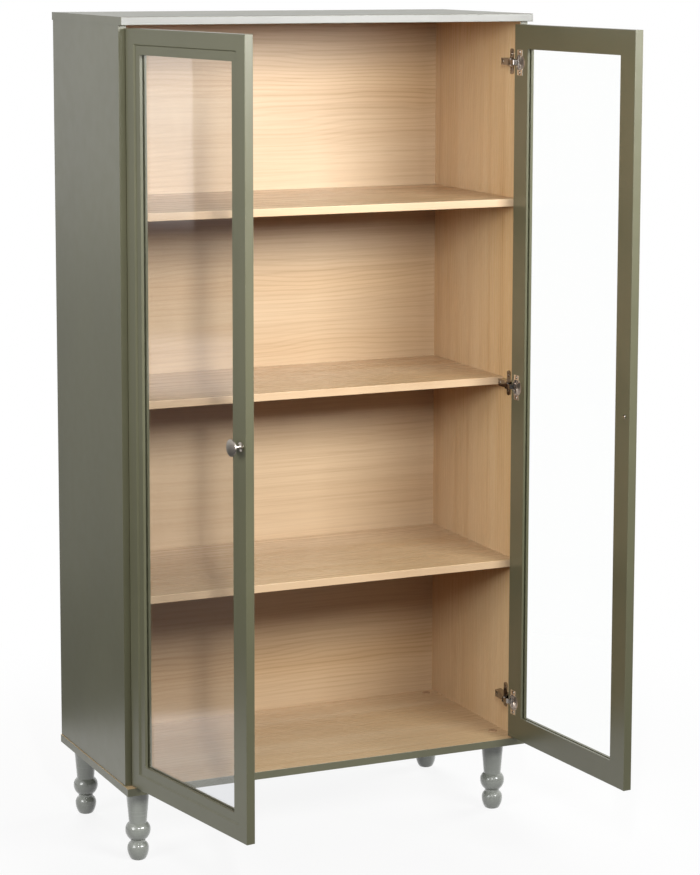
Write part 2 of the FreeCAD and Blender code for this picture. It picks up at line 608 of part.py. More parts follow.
def make_hinge_mounts(side, frame):
    """Makes the hinge pieces fixed to one side panel: plates, arms, their pins and screws.

    X runs inwards from the side panel's outer face, Y back from its front edge and Z up from mid-door.
    """
    low = "-hinge_pitch"
    plates = new_body(f"{side}_hinge_plates")
    front, rear = "wing_inset - wing_half", "wing_inset + wing_half"
    lower, upper = f"{low} - wing_half", f"{low} + wing_half"
    bottom, top = f"{low} - wing_reach", f"{low} + wing_reach"
    cross = Outline(plates, "YZ_Plane", "board").loop([
        ("tongue_front_inset", lower), (front, lower),
        (front, f"{bottom} + wing_round", ("wing_inset", bottom)), (rear, f"{bottom} + wing_round"),
        (rear, lower), ("tongue_back_inset", lower), ("tongue_back_inset", upper), (rear, upper),
        (rear, f"{top} - wing_round", ("wing_inset", top)), (front, f"{top} - wing_round"),
        (front, upper), ("tongue_front_inset", upper)])
    pad(plates, cross, "plate_thick")
    holes = Outline(plates, "YZ_Plane", "plate_top")
    holes.circle("wing_inset", f"{low} - plate_screw_offset", "small_screw_radius + tight")
    holes.circle("wing_inset", f"{low} + plate_screw_offset", "small_screw_radius + tight")
    holes.circle("arm_screw_inset", low, "small_screw_radius + tight")
    pocket(plates, holes, "plate_thick")
    repeat(plates, "Z_Axis", "2 * hinge_pitch", 3)

    arms = new_body(f"{side}_hinge_arms")
    wide = "2 * (link_side + link_play + arm_wall)"
    pad(arms, Outline(arms, "XY_Plane", low).loop([
        ("plate_top", "arm_heel_inset"), ("plate_top", "arm_toe_inset"),
        ("arm_pin_x - arm_nose", "arm_pin_inset", ("arm_pin_x", "arm_pin_inset - arm_nose")),
        ("arm_pin_x + arm_nose", "arm_pin_inset"), ("arm_pin_x + arm_nose", "arm_pin_inset + 2 * arm_nose"),
        ("arm_top", "arm_shoulder_inset"), ("arm_top", "arm_heel_inset - arm_heel_bevel"),
        ("arm_top - arm_heel_bevel", "arm_heel_inset")]), wide, both=True)
    inside = "arm_top - arm_wall"
    hollow = Outline(arms, "XY_Plane", low).loop([
        ("board", "arm_heel_inset + arm_heel_bevel"), ("board", "-2 * arm_nose"),
        ("arm_pin_x + 2 * arm_nose", "-2 * arm_nose"),
        ("arm_pin_x + 2 * arm_nose", "arm_pin_inset + arm_nose"),
        ("arm_pin_x", "arm_pin_inset + 2 * arm_nose"),
        (inside, "arm_shoulder_inset + arm_wall / 2"), (inside, "arm_heel_inset + arm_heel_bevel")])
    pocket(arms, hollow, "2 * (link_side + link_play)", both=True)
    eye = Outline(arms, "XY_Plane", low).circle("arm_pin_x", "arm_pin_inset", "hinge_pin_radius + tight")
    pocket(arms, eye, wide, both=True)
    screw_hole = Outline(arms, "YZ_Plane", "arm_top")
    screw_hole.circle("arm_screw_inset", low, "small_screw_radius + tight")
    pocket(arms, screw_hole, "2 * arm_wall")
    repeat(arms, "Z_Axis", "2 * hinge_pitch", 3)

    pins = new_body(f"{side}_arm_pins")
    pin_end = Outline(pins, "XY_Plane", low).circle("arm_pin_x", "arm_pin_inset", "hinge_pin_radius")
    pad(pins, pin_end, wide, both=True)
    repeat(pins, "Z_Axis", "2 * hinge_pitch", 3)

    screwed = []
    for label, deep, spread, x, y in (
            ("hinge_plate_screws", "plate_screw_depth + plate_thick", "plate_screw_offset",
             "plate_top", "wing_inset"),
            ("hinge_arm_screws", "arm_rise + plate_thick", None, "arm_top", "arm_screw_inset")):
        screws = new_body(f"{side}_{label}")
        turn(screws, Outline(screws, "XY_Plane").loop(small_screw(deep)))
        if spread:
            repeat(screws, "Z_Axis", f"2 * {spread}", 2)
        screwed.append((screws, x, y, f"{low} - {spread}" if spread else low))
    for screws, x, y, z in screwed:
        repeat(screws, "Z_Axis", "2 * hinge_pitch", 3)
        screws.Placement = at(x, y, z, Rotation(Vector(0, 0, 1), -90))
    for piece in (plates, arms, pins, screwed[0][0], screwed[1][0]):
        piece.Placement = frame.multiply(piece.Placement)


def make_links(side, frame):
    """Makes the goose-neck links that carry one door, drawn as they lie with the door shut."""
    body = new_body(f"{side}_hinge_links")
    low = "-hinge_pitch"

    def ring(pin_x, pin_y, sign):
        """Gives a point beside a pin, on the inner or outer curve of the link."""
        share = f"(link_radius {sign} link_half) / link_radius"
        return f"link_x + ({pin_x} - link_x) * {share}", f"link_y + ({pin_y} - link_y) * {share}"

    def crest(sign):
        """Gives the middle of the link's inner or outer curve."""
        reach = f"(link_radius {sign} link_half) / link_span"
        return f"link_x - link_fall * {reach}", f"link_y + link_run * {reach}"

    neck = [(*ring("arm_pin_x", "arm_pin_inset", "+"), crest("+")), ring("cup_pin_x", "cup_pin_y", "+"),
            (*ring("cup_pin_x", "cup_pin_y", "-"), crest("-")), ring("arm_pin_x", "arm_pin_inset", "-")]
    wide = "2 * link_side"
    pad(body, Outline(body, "XY_Plane", low).loop(neck), wide, both=True)
    for pin_x, pin_y in (("arm_pin_x", "arm_pin_inset"), ("cup_pin_x", "cup_pin_y")):
        pad(body, Outline(body, "XY_Plane", low).circle(pin_x, pin_y, "link_eye"), wide, both=True)
    for pin_x, pin_y in (("arm_pin_x", "arm_pin_inset"), ("cup_pin_x", "cup_pin_y")):
        hole = Outline(body, "XY_Plane", low).circle(pin_x, pin_y, "hinge_pin_radius + pin_play")
        pocket(body, hole, wide, both=True)
    repeat(body, "Z_Axis", "2 * hinge_pitch", 3)
    body.Placement = frame
    return body


def about(spot, angle):
    """Makes a turn by an angle about an upright line through a spot."""
    return Placement(Vector(), Rotation(Vector(0, 0, 1), angle), spot)


def make_side(side, hand, angle):
    """Makes one door with its hinges and opens it; hand is 1 on the left and -1 on the right."""
    facing = Rotation() if hand == 1 else Rotation(Vector(0, 1, 0), 180)
    edge = "carcass_width / 2"
    mounts = at(f"{-hand} * {edge}", "0", "door_mid", facing)
    shut = at(f"{-hand} * ({edge} - door_edge_inset)", "-front_reach", "door_mid", facing)
    arm_pin = mounts.multVec(Vector(number("arm_pin_x"), number("arm_pin_inset"), 0))
    cup_pin = mounts.multVec(Vector(number("cup_pin_x"), number("cup_pin_y"), 0))
    swing = about(arm_pin, hand * angle * number("link_turn"))
    opened = about(cup_pin, -hand * angle * (1 + number("link_turn")))
    make_hinge_mounts(side, mounts)
    make_links(side, swing.multiply(mounts))
    make_door(side, swing.multiply(opened).multiply(shut), knobbed=hand == 1)
    return {f"{side} arm pin": arm_pin, f"{side} cup pin": swing.multVec(cup_pin)}


make_end_panel("top_panel", "roof_under", "0", True)
drill_leg_holes(make_end_panel("bottom_panel", "leg_height", "board", False))
make_side_panel("left_side_panel", True)
make_side_panel("right_side_panel", False)
make_back_panel()
make_back_screws()
make_shelf("upper_shelf", 3, "shelf_setback")
make_shelf("middle_shelf", 2, "middle_setback")
make_shelf("lower_shelf", 1, "shelf_setback")
make_shelf_pins()
make_dowels()
for row_name, back in (("front", "leg_front_inset"), ("rear", "leg_front_inset + leg_row")):
    for side_name, sign in (("left", "-"), ("right", "")):
        make_leg(f"{row_name}_{side_name}_leg", f"{sign}leg_span / 2", back)
make_leg_fittings()
pivots = make_side("left", 1, number("left_open_angle"))
pivots.update(make_side("right", -1, number("right_open_angle")))
doc.recompute()

# The origin lies on the floor under the middle of the bookcase with its doors open
whole = FreeCAD.BoundBox()
for node in NODES:
    whole.add(node.Shape.optimalBoundingBox(False))
shift = Vector(-whole.Center.x, -whole.Center.y, 0)
for node in NODES:
    node.Placement = Placement(shift, Rotation()).multiply(node.Placement)
doc.recompute()

broken = [item.Label for item in doc.Objects if {"Invalid", "Error"} & set(item.State)]
broken += [node.Label for node in NODES if node.Shape.isNull() or not node.Shape.isValid()]
if broken:
    raise RuntimeError(f"these objects failed: {broken}")

os.makedirs("parts", exist_ok=True)
for node in NODES:
    node.Shape.exportStep(f"parts/{node.Label}.step")
print(len(NODES), "nodes", whole, "shift", shift)
for name, spot in pivots.items():
    print(name, spot + shift)
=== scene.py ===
"""Looks of the tall bookcase: sage-green paint, oak inside, framed glass doors and turned legs.

Everything is in metres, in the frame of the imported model. X runs to the right, Y to the back and Z up.
"""

import logging
import math
from dataclasses import dataclass
from enum import Enum
from functools import cached_property
from typing import NamedTuple

import bpy
import numpy as np
from mathutils import Matrix, Vector

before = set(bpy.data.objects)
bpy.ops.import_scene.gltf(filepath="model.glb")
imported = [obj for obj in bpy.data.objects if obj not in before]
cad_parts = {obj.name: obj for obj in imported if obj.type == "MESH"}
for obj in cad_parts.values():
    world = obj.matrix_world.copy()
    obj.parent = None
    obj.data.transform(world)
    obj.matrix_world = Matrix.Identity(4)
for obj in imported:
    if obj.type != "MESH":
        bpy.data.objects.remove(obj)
log = logging.getLogger("bookcase")

Colour = tuple[float, float, float, float]
Triple = tuple[float, float, float]
Pair = tuple[float, float]
Socket = bpy.types.NodeSocket
Owner = bpy.types.Material | bpy.types.World

WHITE = (1.0, 1.0, 1.0, 1.0)

# The picture in pixels, the camera's sensor in millimetres, and the tilt at which a camera looks level
IMAGE_WIDTH = 700
IMAGE_HEIGHT = 875
SENSOR_WIDTH = 36.0
LEVEL = 90.0

# The standard display curve: straight below the knee and a power above it
CURVE_KNEE = 0.04045
CURVE_SLOPE = 12.92
CURVE_OFFSET = 0.055
CURVE_POWER = 2.4
FULL_LEVEL = 255

# Blender's Mix node has sockets of its own for colours and for numbers
COLOUR_INPUTS = (0, 6, 7)
COLOUR_OUTPUT = 2
NUMBER_INPUTS = (0, 2, 3)
NUMBER_OUTPUT = 0

# Noise values between which a tone or a gloss passes from one state to the other
CLOUD_SPAN = (0.3, 0.7)
SMEAR_SPAN = (0.25, 0.75)
MARK_SPAN = (0.2, 0.8)

# How squarely a face has to look along an axis to count as facing it
FACING_SPAN = (0.85, 0.95)


class Axis(Enum):
    """A direction of the model's frame."""

    X = 0
    Y = 1
    Z = 2


class Side(Enum):
    """One of the two doors with its hinges; the value is the sign of X."""

    LEFT = -1
    RIGHT = 1

    @property
    def word(self) -> str:
        """Gives the word that the side's node names start with."""
        return self.name.lower()


class Surface(NamedTuple):
    """What a finish gives to a shader: sockets for colour, roughness and height."""

    colour: Socket
    roughness: Socket
    height: Socket


def linear(red: int, green: int, blue: int) -> Colour:
    """Turns a display colour into the linear one that shaders use, by the standard display curve.

    Args:
        red: Red from 0 to 255.
        green: Green from 0 to 255.
        blue: Blue from 0 to 255.

    Returns:
        The linear colour with full alpha.
    """
    display = np.array([red, green, blue]) / FULL_LEVEL
    low = display / CURVE_SLOPE
    high = ((display + CURVE_OFFSET) / (1 + CURVE_OFFSET)) ** CURVE_POWER
    return (*np.where(display <= CURVE_KNEE, low, high).tolist(), 1.0)


def around(middle: float, spread: float) -> Pair:
    """Gives the two values that lie a spread below and above a middle one."""
    return middle - spread, middle + spread


class Graph:
    """The node tree of a material or a world, with short ways to add and join nodes."""

    def __init__(self, owner: Owner) -> None:
        """Starts with an empty tree.

        Args:
            owner: The material or world that the tree belongs to.
        """
        owner.use_nodes = True
        self.owner = owner
        self.tree = owner.node_tree
        self.tree.nodes.clear()

    @cached_property
    def coordinates(self) -> bpy.types.Node:
        """Adds the node that gives coordinates, at its first use."""
        return self.add("ShaderNodeTexCoord")

    @property
    def here(self) -> Socket:
        """Gives the place in the model's frame."""
        return self.coordinates.outputs["Object"]

    def add(self, kind: str, **settings: object) -> bpy.types.Node:
        """Adds a node and sets its own properties.

        Args:
            kind: Blender's name for the node type.
            settings: Property names and values.

        Returns:
            The new node.
        """
        node = self.tree.nodes.new(kind)
        for key, value in settings.items():
            setattr(node, key, value)
        return node

    def put(self, socket: Socket, value: object) -> None:
        """Links another socket to this one, or sets its value.

        Args:
            socket: The input to fill.
            value: A socket to link, or a plain value.
        """
        if isinstance(value, Socket):
            self.tree.links.new(value, socket)
        else:
            socket.default_value = value

    def fill(self, kind: str, **sockets: object) -> Socket:
        """Adds a node and fills its sockets.

        Args:
            kind: Blender's name for the node type.
            sockets: What goes into each socket, by its name with _ for a space.

        Returns:
            The node's first output.
        """
        node = self.add(kind)
        for key, value in sockets.items():
            self.put(node.inputs[key.replace("_", " ")], value)
        return node.outputs[0]

    def stretched(self, scale: Triple) -> Socket:
        """Gives the place in the model's frame, scaled along each axis."""
        return self.fill("ShaderNodeMapping", Vector=self.here, Scale=scale)

    def part(self, vector: Socket, axis: Axis) -> Socket:
        """Takes one part of a vector.

        Args:
            vector: The whole vector.
            axis: The part to take.

        Returns:
            The part as a number.
        """
        parts = self.add("ShaderNodeSeparateXYZ")
        self.put(parts.inputs[0], vector)
        return parts.outputs[axis.value]

    def noise(self, vector: Socket, scale: float, detail: float = 3, rough: float = 0.5) -> Socket:
        """Gives a noise value of about one half, with finer layers by number and strength."""
        return self.fill("ShaderNodeTexNoise", Vector=vector, Scale=scale, Detail=detail, Roughness=rough)

    def math(self, operation: str, first: object, second: object, clamp: bool = False) -> Socket:
        """Joins two numbers by a named operation.

        Args:
            operation: Blender's name for it.
            first: The first number.
            second: The second number.
            clamp: Whether to keep the result between 0 and 1.

        Returns:
            The result.
        """
        node = self.add("ShaderNodeMath", operation=operation, use_clamp=clamp)
        self.put(node.inputs[0], first)
        self.put(node.inputs[1], second)
        return node.outputs[0]

    def measure(self, operation: str, *vectors: object) -> Socket:
        """Measures vectors by a named operation.

        Args:
            operation: Blender's name for it.
            vectors: What is measured.

        Returns:
            The measure as a number.
        """
        node = self.add("ShaderNodeVectorMath", operation=operation)
        for socket, vector in zip(node.inputs, vectors):
            self.put(socket, vector)
        return node.outputs["Value"]

    def ramp(self, value: Socket, span: Pair, result: Pair = (0.0, 1.0)) -> Socket:
        """Passes smoothly from one number to another while a value crosses a span.

        Args:
            value: What crosses the span.
            span: Where the change starts and ends.
            result: The numbers before and after it.

        Returns:
            The number in between.
        """
        node = self.add("ShaderNodeMapRange", interpolation_type="SMOOTHSTEP")
        for index, part in enumerate((value, *span, *result)):
            self.put(node.inputs[index], part)
        return node.outputs[0]

    def mix(self, factor: object, first: object, second: object) -> Socket:
        """Mixes two colours.

        Args:
            factor: The share of the second colour.
            first: The colour at 0.
            second: The colour at 1.

        Returns:
            The mixed colour.
        """
        node = self.add("ShaderNodeMix", data_type="RGBA")
        for index, part in zip(COLOUR_INPUTS, (factor, first, second)):
            self.put(node.inputs[index], part)
        return node.outputs[COLOUR_OUTPUT]

    def blend(self, factor: object, first: object, second: object) -> Socket:
        """Mixes two numbers.

        Args:
            factor: The share of the second number.
            first: The number at 0.
            second: The number at 1.

        Returns:
            The mixed number.
        """
        node = self.add("ShaderNodeMix", data_type="FLOAT")
        for index, part in zip(NUMBER_INPUTS, (factor, first, second)):
            self.put(node.inputs[index], part)
        return node.outputs[NUMBER_OUTPUT]

    def facing(self, axis: Axis, sign: int) -> Socket:
        """Gives 1 on the faces that look along an axis, or against it by a sign of -1, and 0 elsewhere."""
        normal = self.part(self.coordinates.outputs["Normal"], axis)
        return self.ramp(self.math("MULTIPLY", normal, sign), FACING_SPAN)

    def choose(self, mask: Socket, first: Surface, second: Surface) -> Surface:
        """Takes one surface or another.

        Args:
            mask: 0 for the first surface, 1 for the second.
            first: The surface at 0.
            second: The surface at 1.

        Returns:
            The chosen surface.
        """
        return Surface(self.mix(mask, first.colour, second.colour),
                       self.blend(mask, first.roughness, second.roughness),
                       self.blend(mask, first.height, second.height))

    def bump(self, height: Socket, relief: float) -> Socket:
        """Bends the normal by a height from 0 to 1, where 1 stands for the relief."""
        return self.fill("ShaderNodeBump", Height=height, Distance=relief)

    def join(self, share: Socket, first: Socket, second: Socket) -> Socket:
        """Mixes two shaders.

        Args:
            share: The share of the second shader.
            first: The shader at 0.
            second: The shader at 1.

        Returns:
            The mixed shader.
        """
        node = self.add("ShaderNodeMixShader")
        for socket, part in zip(node.inputs, (share, first, second)):
            self.put(socket, part)
        return node.outputs[0]

    def end(self, shader: Socket, kind: str = "ShaderNodeOutputMaterial") -> Owner:
        """Ends the tree in its output node and gives the tree's owner."""
        self.put(self.add(kind).inputs["Surface"], shader)
        return self.owner

    def close(self, surface: Surface, relief: float, **sockets: object) -> bpy.types.Material:
        """Ends the tree in a Principled shader with this surface, relief and other sockets by name."""
        normal = self.bump(surface.height, relief)
        return self.end(self.fill("ShaderNodeBsdfPrincipled", Base_Color=surface.colour,
                                  Roughness=surface.roughness, Normal=normal, **sockets))


def new_graph(name: str) -> Graph:
    """Starts the tree of a new material with this name."""
    return Graph(bpy.data.materials.new(name))


@dataclass(frozen=True)
class SatinPaint:
    """Sprayed satin paint: a barely visible cloudiness and a fine orange-peel skin.

    Here and below, a scale is in cycles per metre and a relief in metres.
    """

    colour: Colour = linear(105, 104, 80)
    shade: Colour = linear(101, 100, 77)
    roughness: float = 0.32
    gloss: float = 0.7
    peel: float = 0.0000015
    cloud_scale: float = 5.0
    smear_scale: float = 34.0
    peel_scale: float = 620.0
    smear: float = 0.02

    def surface(self, graph: Graph) -> Surface:
        """Adds the paint to a tree.

        Args:
            graph: The material's tree.

        Returns:
            Colour, roughness and height of the paint.
        """
        cloud = graph.noise(graph.here, self.cloud_scale, detail=4)
        smear = graph.noise(graph.here, self.smear_scale)
        skin = graph.noise(graph.here, self.peel_scale, detail=2)
        colour = graph.mix(graph.ramp(cloud, CLOUD_SPAN), self.shade, self.colour)
        return Surface(colour, graph.ramp(smear, SMEAR_SPAN, around(self.roughness, self.smear)), skin)

    def material(self, name: str) -> bpy.types.Material:
        """Makes the paint as a material of its own."""
        graph = new_graph(name)
        return graph.close(self.surface(graph), self.peel, Specular_IOR_Level=self.gloss)


@dataclass(frozen=True)
class Streaks:
    """One layer of a veneer's figure: noise that is drawn out along the grain.

    Across and along are in cycles per metre.
    While the noise crosses the span, the layer goes through its depth, a share of the dark colour.
    """

    across: float
    along: float
    detail: float = 3
    rough: float = 0.5
    span: Pair = (0.4, 0.75)
    depth: Pair = (0.0, 0.2)

    def noise(self, graph: Graph, grain: Axis) -> Socket:
        """Adds the layer's noise to a tree.

        Args:
            graph: The material's tree.
            grain: The axis that the grain runs along.

        Returns:
            The noise value.
        """
        scale = [self.across] * len(Axis)
        scale[grain.value] = self.along
        return graph.noise(graph.stretched(tuple(scale)), 1, self.detail, self.rough)


@dataclass(frozen=True)
class OakVeneer:
    """Oak-look veneer: fine straight grain with faint flames, fibres and short dark pores."""

    pale: Colour = linear(240, 214, 173)
    mid: Colour = linear(230, 198, 151)
    dark: Colour = linear(194, 152, 99)
    bounced: Colour = linear(152, 106, 62)
    roughness: float = 0.26
    dark_roughness: float = 0.12
    relief: float = 0.00003
    bands: float = 95.0
    wander: float = 10.0
    late_span: Pair = (0.1, 1.0)
    flames: Streaks = Streaks(5, 1.4, rough=0.45)
    tones: Streaks = Streaks(6, 0.7, detail=2, span=(0.35, 0.7), depth=(0.04, 0.34))
    layers: tuple[Streaks, ...] = (Streaks(70, 0.7, rough=0.55, depth=(0.0, 0.24)),
                                   Streaks(420, 5, rough=0.6),
                                   Streaks(900, 14, detail=1, span=(0.62, 0.76), depth=(0.0, 0.25)))

    def surface(self, graph: Graph, grain: Axis, across: Axis) -> Surface:
        """Adds the veneer's figure to a tree.

        A growth band is the sine of the distance across the grain, bent by a slow noise into flames.
        Stripes, fibres and pores are laid over it.
        Light that bounces from board to board is hushed, so that shelves shade the back as photographed.

        Args:
            graph: The material's tree.
            grain: The axis that the grain runs along.
            across: The axis that the growth bands are stacked along.

        Returns:
            Colour, roughness and height of the veneer.
        """
        count = graph.math("MULTIPLY", graph.part(graph.here, across), self.bands)
        bend = graph.math("MULTIPLY", self.flames.noise(graph, grain), self.wander)
        phase = graph.math("MULTIPLY", graph.math("ADD", count, bend), math.tau)
        late = graph.ramp(graph.math("SINE", phase, 0.0), self.late_span)
        tone = self.tones.noise(graph, grain)
        shade = graph.math("MULTIPLY", late, graph.ramp(tone, self.tones.span, self.tones.depth))
        for layer in self.layers:
            streak = graph.ramp(layer.noise(graph, grain), layer.span, layer.depth)
            shade = graph.math("ADD", shade, streak, clamp=True)
        base = graph.mix(graph.ramp(tone, CLOUD_SPAN), self.pale, self.mid)
        path = graph.add("ShaderNodeLightPath")
        colour = graph.mix(path.outputs["Is Diffuse Ray"], graph.mix(shade, base, self.dark), self.bounced)
        rough = graph.blend(shade, self.roughness, self.roughness + self.dark_roughness)
        return Surface(colour, rough, graph.math("SUBTRACT", 1.0, shade))

    def material(self, name: str, grain: Axis, across: Axis) -> bpy.types.Material:
        """Makes the veneer as a material of its own."""
        graph = new_graph(name)
        return graph.close(self.surface(graph, grain, across), self.relief)


@dataclass(frozen=True)
class Fibreboard:
    """Raw brown hardboard on the back of the thin panel, with pressed fibres."""

    colour: Colour = linear(150, 116, 82)
    shade: Colour = linear(126, 95, 66)
    roughness: Pair = (0.7, 0.9)
    fleck_scale: float = 420.0
    fleck_share: float = 0.7
    cloud_scale: float = 14.0
    tone_span: Pair = (0.35, 0.65)

    def surface(self, graph: Graph) -> Surface:
        """Adds the board's flecks to a tree.

        Args:
            graph: The material's tree.

        Returns:
            Colour, roughness and height of the board.
        """
        fleck = graph.noise(graph.here, self.fleck_scale, detail=4, rough=0.7)
        cloud = graph.noise(graph.here, self.cloud_scale)
        tone = graph.ramp(graph.blend(self.fleck_share, cloud, fleck), self.tone_span)
        rough = graph.ramp(fleck, (0.0, 1.0), self.roughness)
        return Surface(graph.mix(tone, self.shade, self.colour), rough, fleck)


@dataclass(frozen=True)
class PanelFaces:
    """A board that is painted all over, but for the oak face that looks into the cabinet. A paler paint on
    the front edge, where one is given, is a painted highlight.
    """

    axis: Axis
    sign: int
    grain: Axis
    across: Axis
    front_edge: SatinPaint | None = None
    inner_gloss: float = 0.4

    def material(self, name: str, paint: SatinPaint, oak: OakVeneer) -> bpy.types.Material:
        """Makes the board's material.

        Args:
            name: The material's name.
            paint: The finish of the outer faces.
            oak: The finish of the inner face.

        Returns:
            The finished material.
        """
        graph = new_graph(name)
        inner = graph.facing(self.axis, self.sign)
        outer = paint.surface(graph)
        # The paler paint on the front edge is a painted highlight
        if self.front_edge:
            outer = graph.choose(graph.facing(Axis.Y, -1), outer, self.front_edge.surface(graph))
        surface = graph.choose(inner, outer, oak.surface(graph, self.grain, self.across))
        gloss = graph.blend(inner, paint.gloss, self.inner_gloss)
        return graph.close(surface, paint.peel, Specular_IOR_Level=gloss)


@dataclass(frozen=True)
class Lacquer:
    """Thick gloss lacquer over turned wood, with faint turning rings under a clear coat."""

    colour: Colour = linear(150, 153, 145)
    shade: Colour = linear(142, 145, 137)
    roughness: float = 0.25
    roughness_spread: float = 0.04
    relief: float = 0.00003
    ring_scale: Triple = (6.0, 6.0, 900.0)
    cloud_scale: float = 45.0
    coat_roughness: float = 0.05

    def material(self, name: str) -> bpy.types.Material:
        """Makes the lacquer.

        Args:
            name: The material's name.

        Returns:
            The finished material.
        """
        graph = new_graph(name)
        rings = graph.noise(graph.stretched(self.ring_scale), 1, detail=2)
        cloud = graph.noise(graph.here, self.cloud_scale)
        colour = graph.mix(graph.ramp(cloud, CLOUD_SPAN), self.shade, self.colour)
        rough = graph.ramp(rings, MARK_SPAN, around(self.roughness, self.roughness_spread))
        return graph.close(Surface(colour, rough, rings), self.relief, Coat_Weight=1.0,
                           Coat_Roughness=self.coat_roughness)


@dataclass(frozen=True)
class PlatedMetal:
    """Plated steel or die-cast metal, with fine drawing marks and a little tarnish."""

    colour: Colour = linear(198, 192, 184)
    tarnish: Colour = linear(150, 140, 128)
    roughness: float = 0.22
    roughness_reach: Pair = (-0.06, 0.1)
    mark_scale: Triple = (300.0, 300.0, 1600.0)
    spot_scale: float = 130.0
    spot_span: Pair = (0.52, 0.8)
    relief: float = 0.00001

    def material(self, name: str) -> bpy.types.Material:
        """Makes the metal.

        Args:
            name: The material's name.

        Returns:
            The finished material.
        """
        graph = new_graph(name)
        drawn = graph.noise(graph.stretched(self.mark_scale), 1, detail=2)
        spots = graph.noise(graph.here, self.spot_scale, detail=4, rough=0.6)
        colour = graph.mix(graph.ramp(spots, self.spot_span), self.colour, self.tarnish)
        smooth, worn = self.roughness_reach
        rough = graph.ramp(drawn, MARK_SPAN, (self.roughness + smooth, self.roughness + worn))
        return graph.close(Surface(colour, rough, drawn), self.relief, Metallic=1.0)


@dataclass(frozen=True)
class MouldedPlastic:
    """Matt moulded plastic with a spark-eroded skin."""

    colour: Colour
    roughness: float = 0.5
    roughness_spread: float = 0.06
    shade_share: float = 0.86
    skin_scale: float = 1500.0
    cloud_scale: float = 60.0
    relief: float = 0.00002

    def material(self, name: str) -> bpy.types.Material:
        """Makes the plastic.

        Args:
            name: The material's name.

        Returns:
            The finished material.
        """
        graph = new_graph(name)
        skin = graph.noise(graph.here, self.skin_scale, detail=2)
        cloud = graph.noise(graph.here, self.cloud_scale, detail=2)
        red, green, blue, alpha = self.colour
        deeper = (self.shade_share * red, self.shade_share * green, self.shade_share * blue, alpha)
        colour = graph.mix(graph.ramp(cloud, CLOUD_SPAN), deeper, self.colour)
        rough = graph.ramp(skin, MARK_SPAN, around(self.roughness, self.roughness_spread))
        return graph.close(Surface(colour, rough, skin), self.relief)


@dataclass(frozen=True)
class ClearGlass:
    """Thin float glass: clear, very slightly green, with a faint wave that bends reflections."""

    tint: Colour = (0.994, 0.998, 0.996, 1.0)
    index: float = 1.5
    mirror: float = 1.0
    wave: float = 0.00005
    wave_scale: float = 7.0

    def material(self, name: str) -> bpy.types.Material:
        """Makes the glass, which mirrors more at a slant and lets the rest of the light pass.

        Args:
            name: The material's name.

        Returns:
            The finished material.
        """
        graph = new_graph(name)
        normal = graph.bump(graph.noise(graph.here, self.wave_scale, detail=1), self.wave)
        behind = graph.add("ShaderNodeNewGeometry").outputs["Backfacing"]
        slant = graph.fill("ShaderNodeFresnel", IOR=graph.blend(behind, self.index, 1 / self.index))
        passing = graph.fill("ShaderNodeBsdfTransparent", Color=self.tint)
        sheen = graph.fill("ShaderNodeBsdfGlossy", Roughness=0.0, Normal=normal)
        path = graph.add("ShaderNodeLightPath").outputs
        unseen = graph.math("MAXIMUM", path["Is Shadow Ray"], path["Is Diffuse Ray"])
        seen = graph.math("SUBTRACT", 1.0, unseen)
        share = graph.math("MULTIPLY", graph.math("MULTIPLY", slant, self.mirror), seen)
        return graph.end(graph.join(share, passing, sheen))


ZINC_STEEL = PlatedMetal(linear(186, 184, 176))
HINGE_NICKEL = PlatedMetal(linear(150, 143, 136), linear(96, 88, 80), 0.15)
PRESSED_NICKEL = PlatedMetal(linear(232, 224, 216), linear(196, 186, 176), 0.35)
BRUSHED_KNOB = PlatedMetal(linear(176, 168, 158), linear(140, 130, 120), 0.3)
# The side walls' oak is a warmer, darker copy of the shelves' oak: painted shade on the walls inside
SHADED_WALL_OAK = OakVeneer(linear(238, 208, 162), linear(228, 192, 140), linear(191, 146, 90))
BACK_FOIL = OakVeneer(linear(224, 196, 157), linear(213, 180, 136), linear(178, 137, 89), roughness=0.45)
# The top's front edge gets a paler, greyer paint: a painted highlight where the lamps shine on it
TOP_EDGE_HIGHLIGHT = SatinPaint(linear(124, 124, 118), linear(118, 118, 112))
GLIDE_PLASTIC = MouldedPlastic(linear(60, 58, 54))
CAP_PLASTIC = MouldedPlastic(linear(196, 160, 122))
# The left pane's grey tint is partly the glass's own absorption and partly painted shade on what is seen
# through it; the left pane mirrors 1.4 times and the right pane 0.05 times as much as plain glass
PANES = {Side.LEFT: ClearGlass((0.935, 0.94, 0.95, 1.0), mirror=1.4), Side.RIGHT: ClearGlass(mirror=0.05)}


def dress(node: str, material: bpy.types.Material) -> None:
    """Gives a CAD node its finish.

    Args:
        node: The node's name.
        material: The finish.
    """
    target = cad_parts[node]
    target.data.materials.clear()
    target.data.materials.append(material)
    log.info("dressed %s in %s", node, material.name)


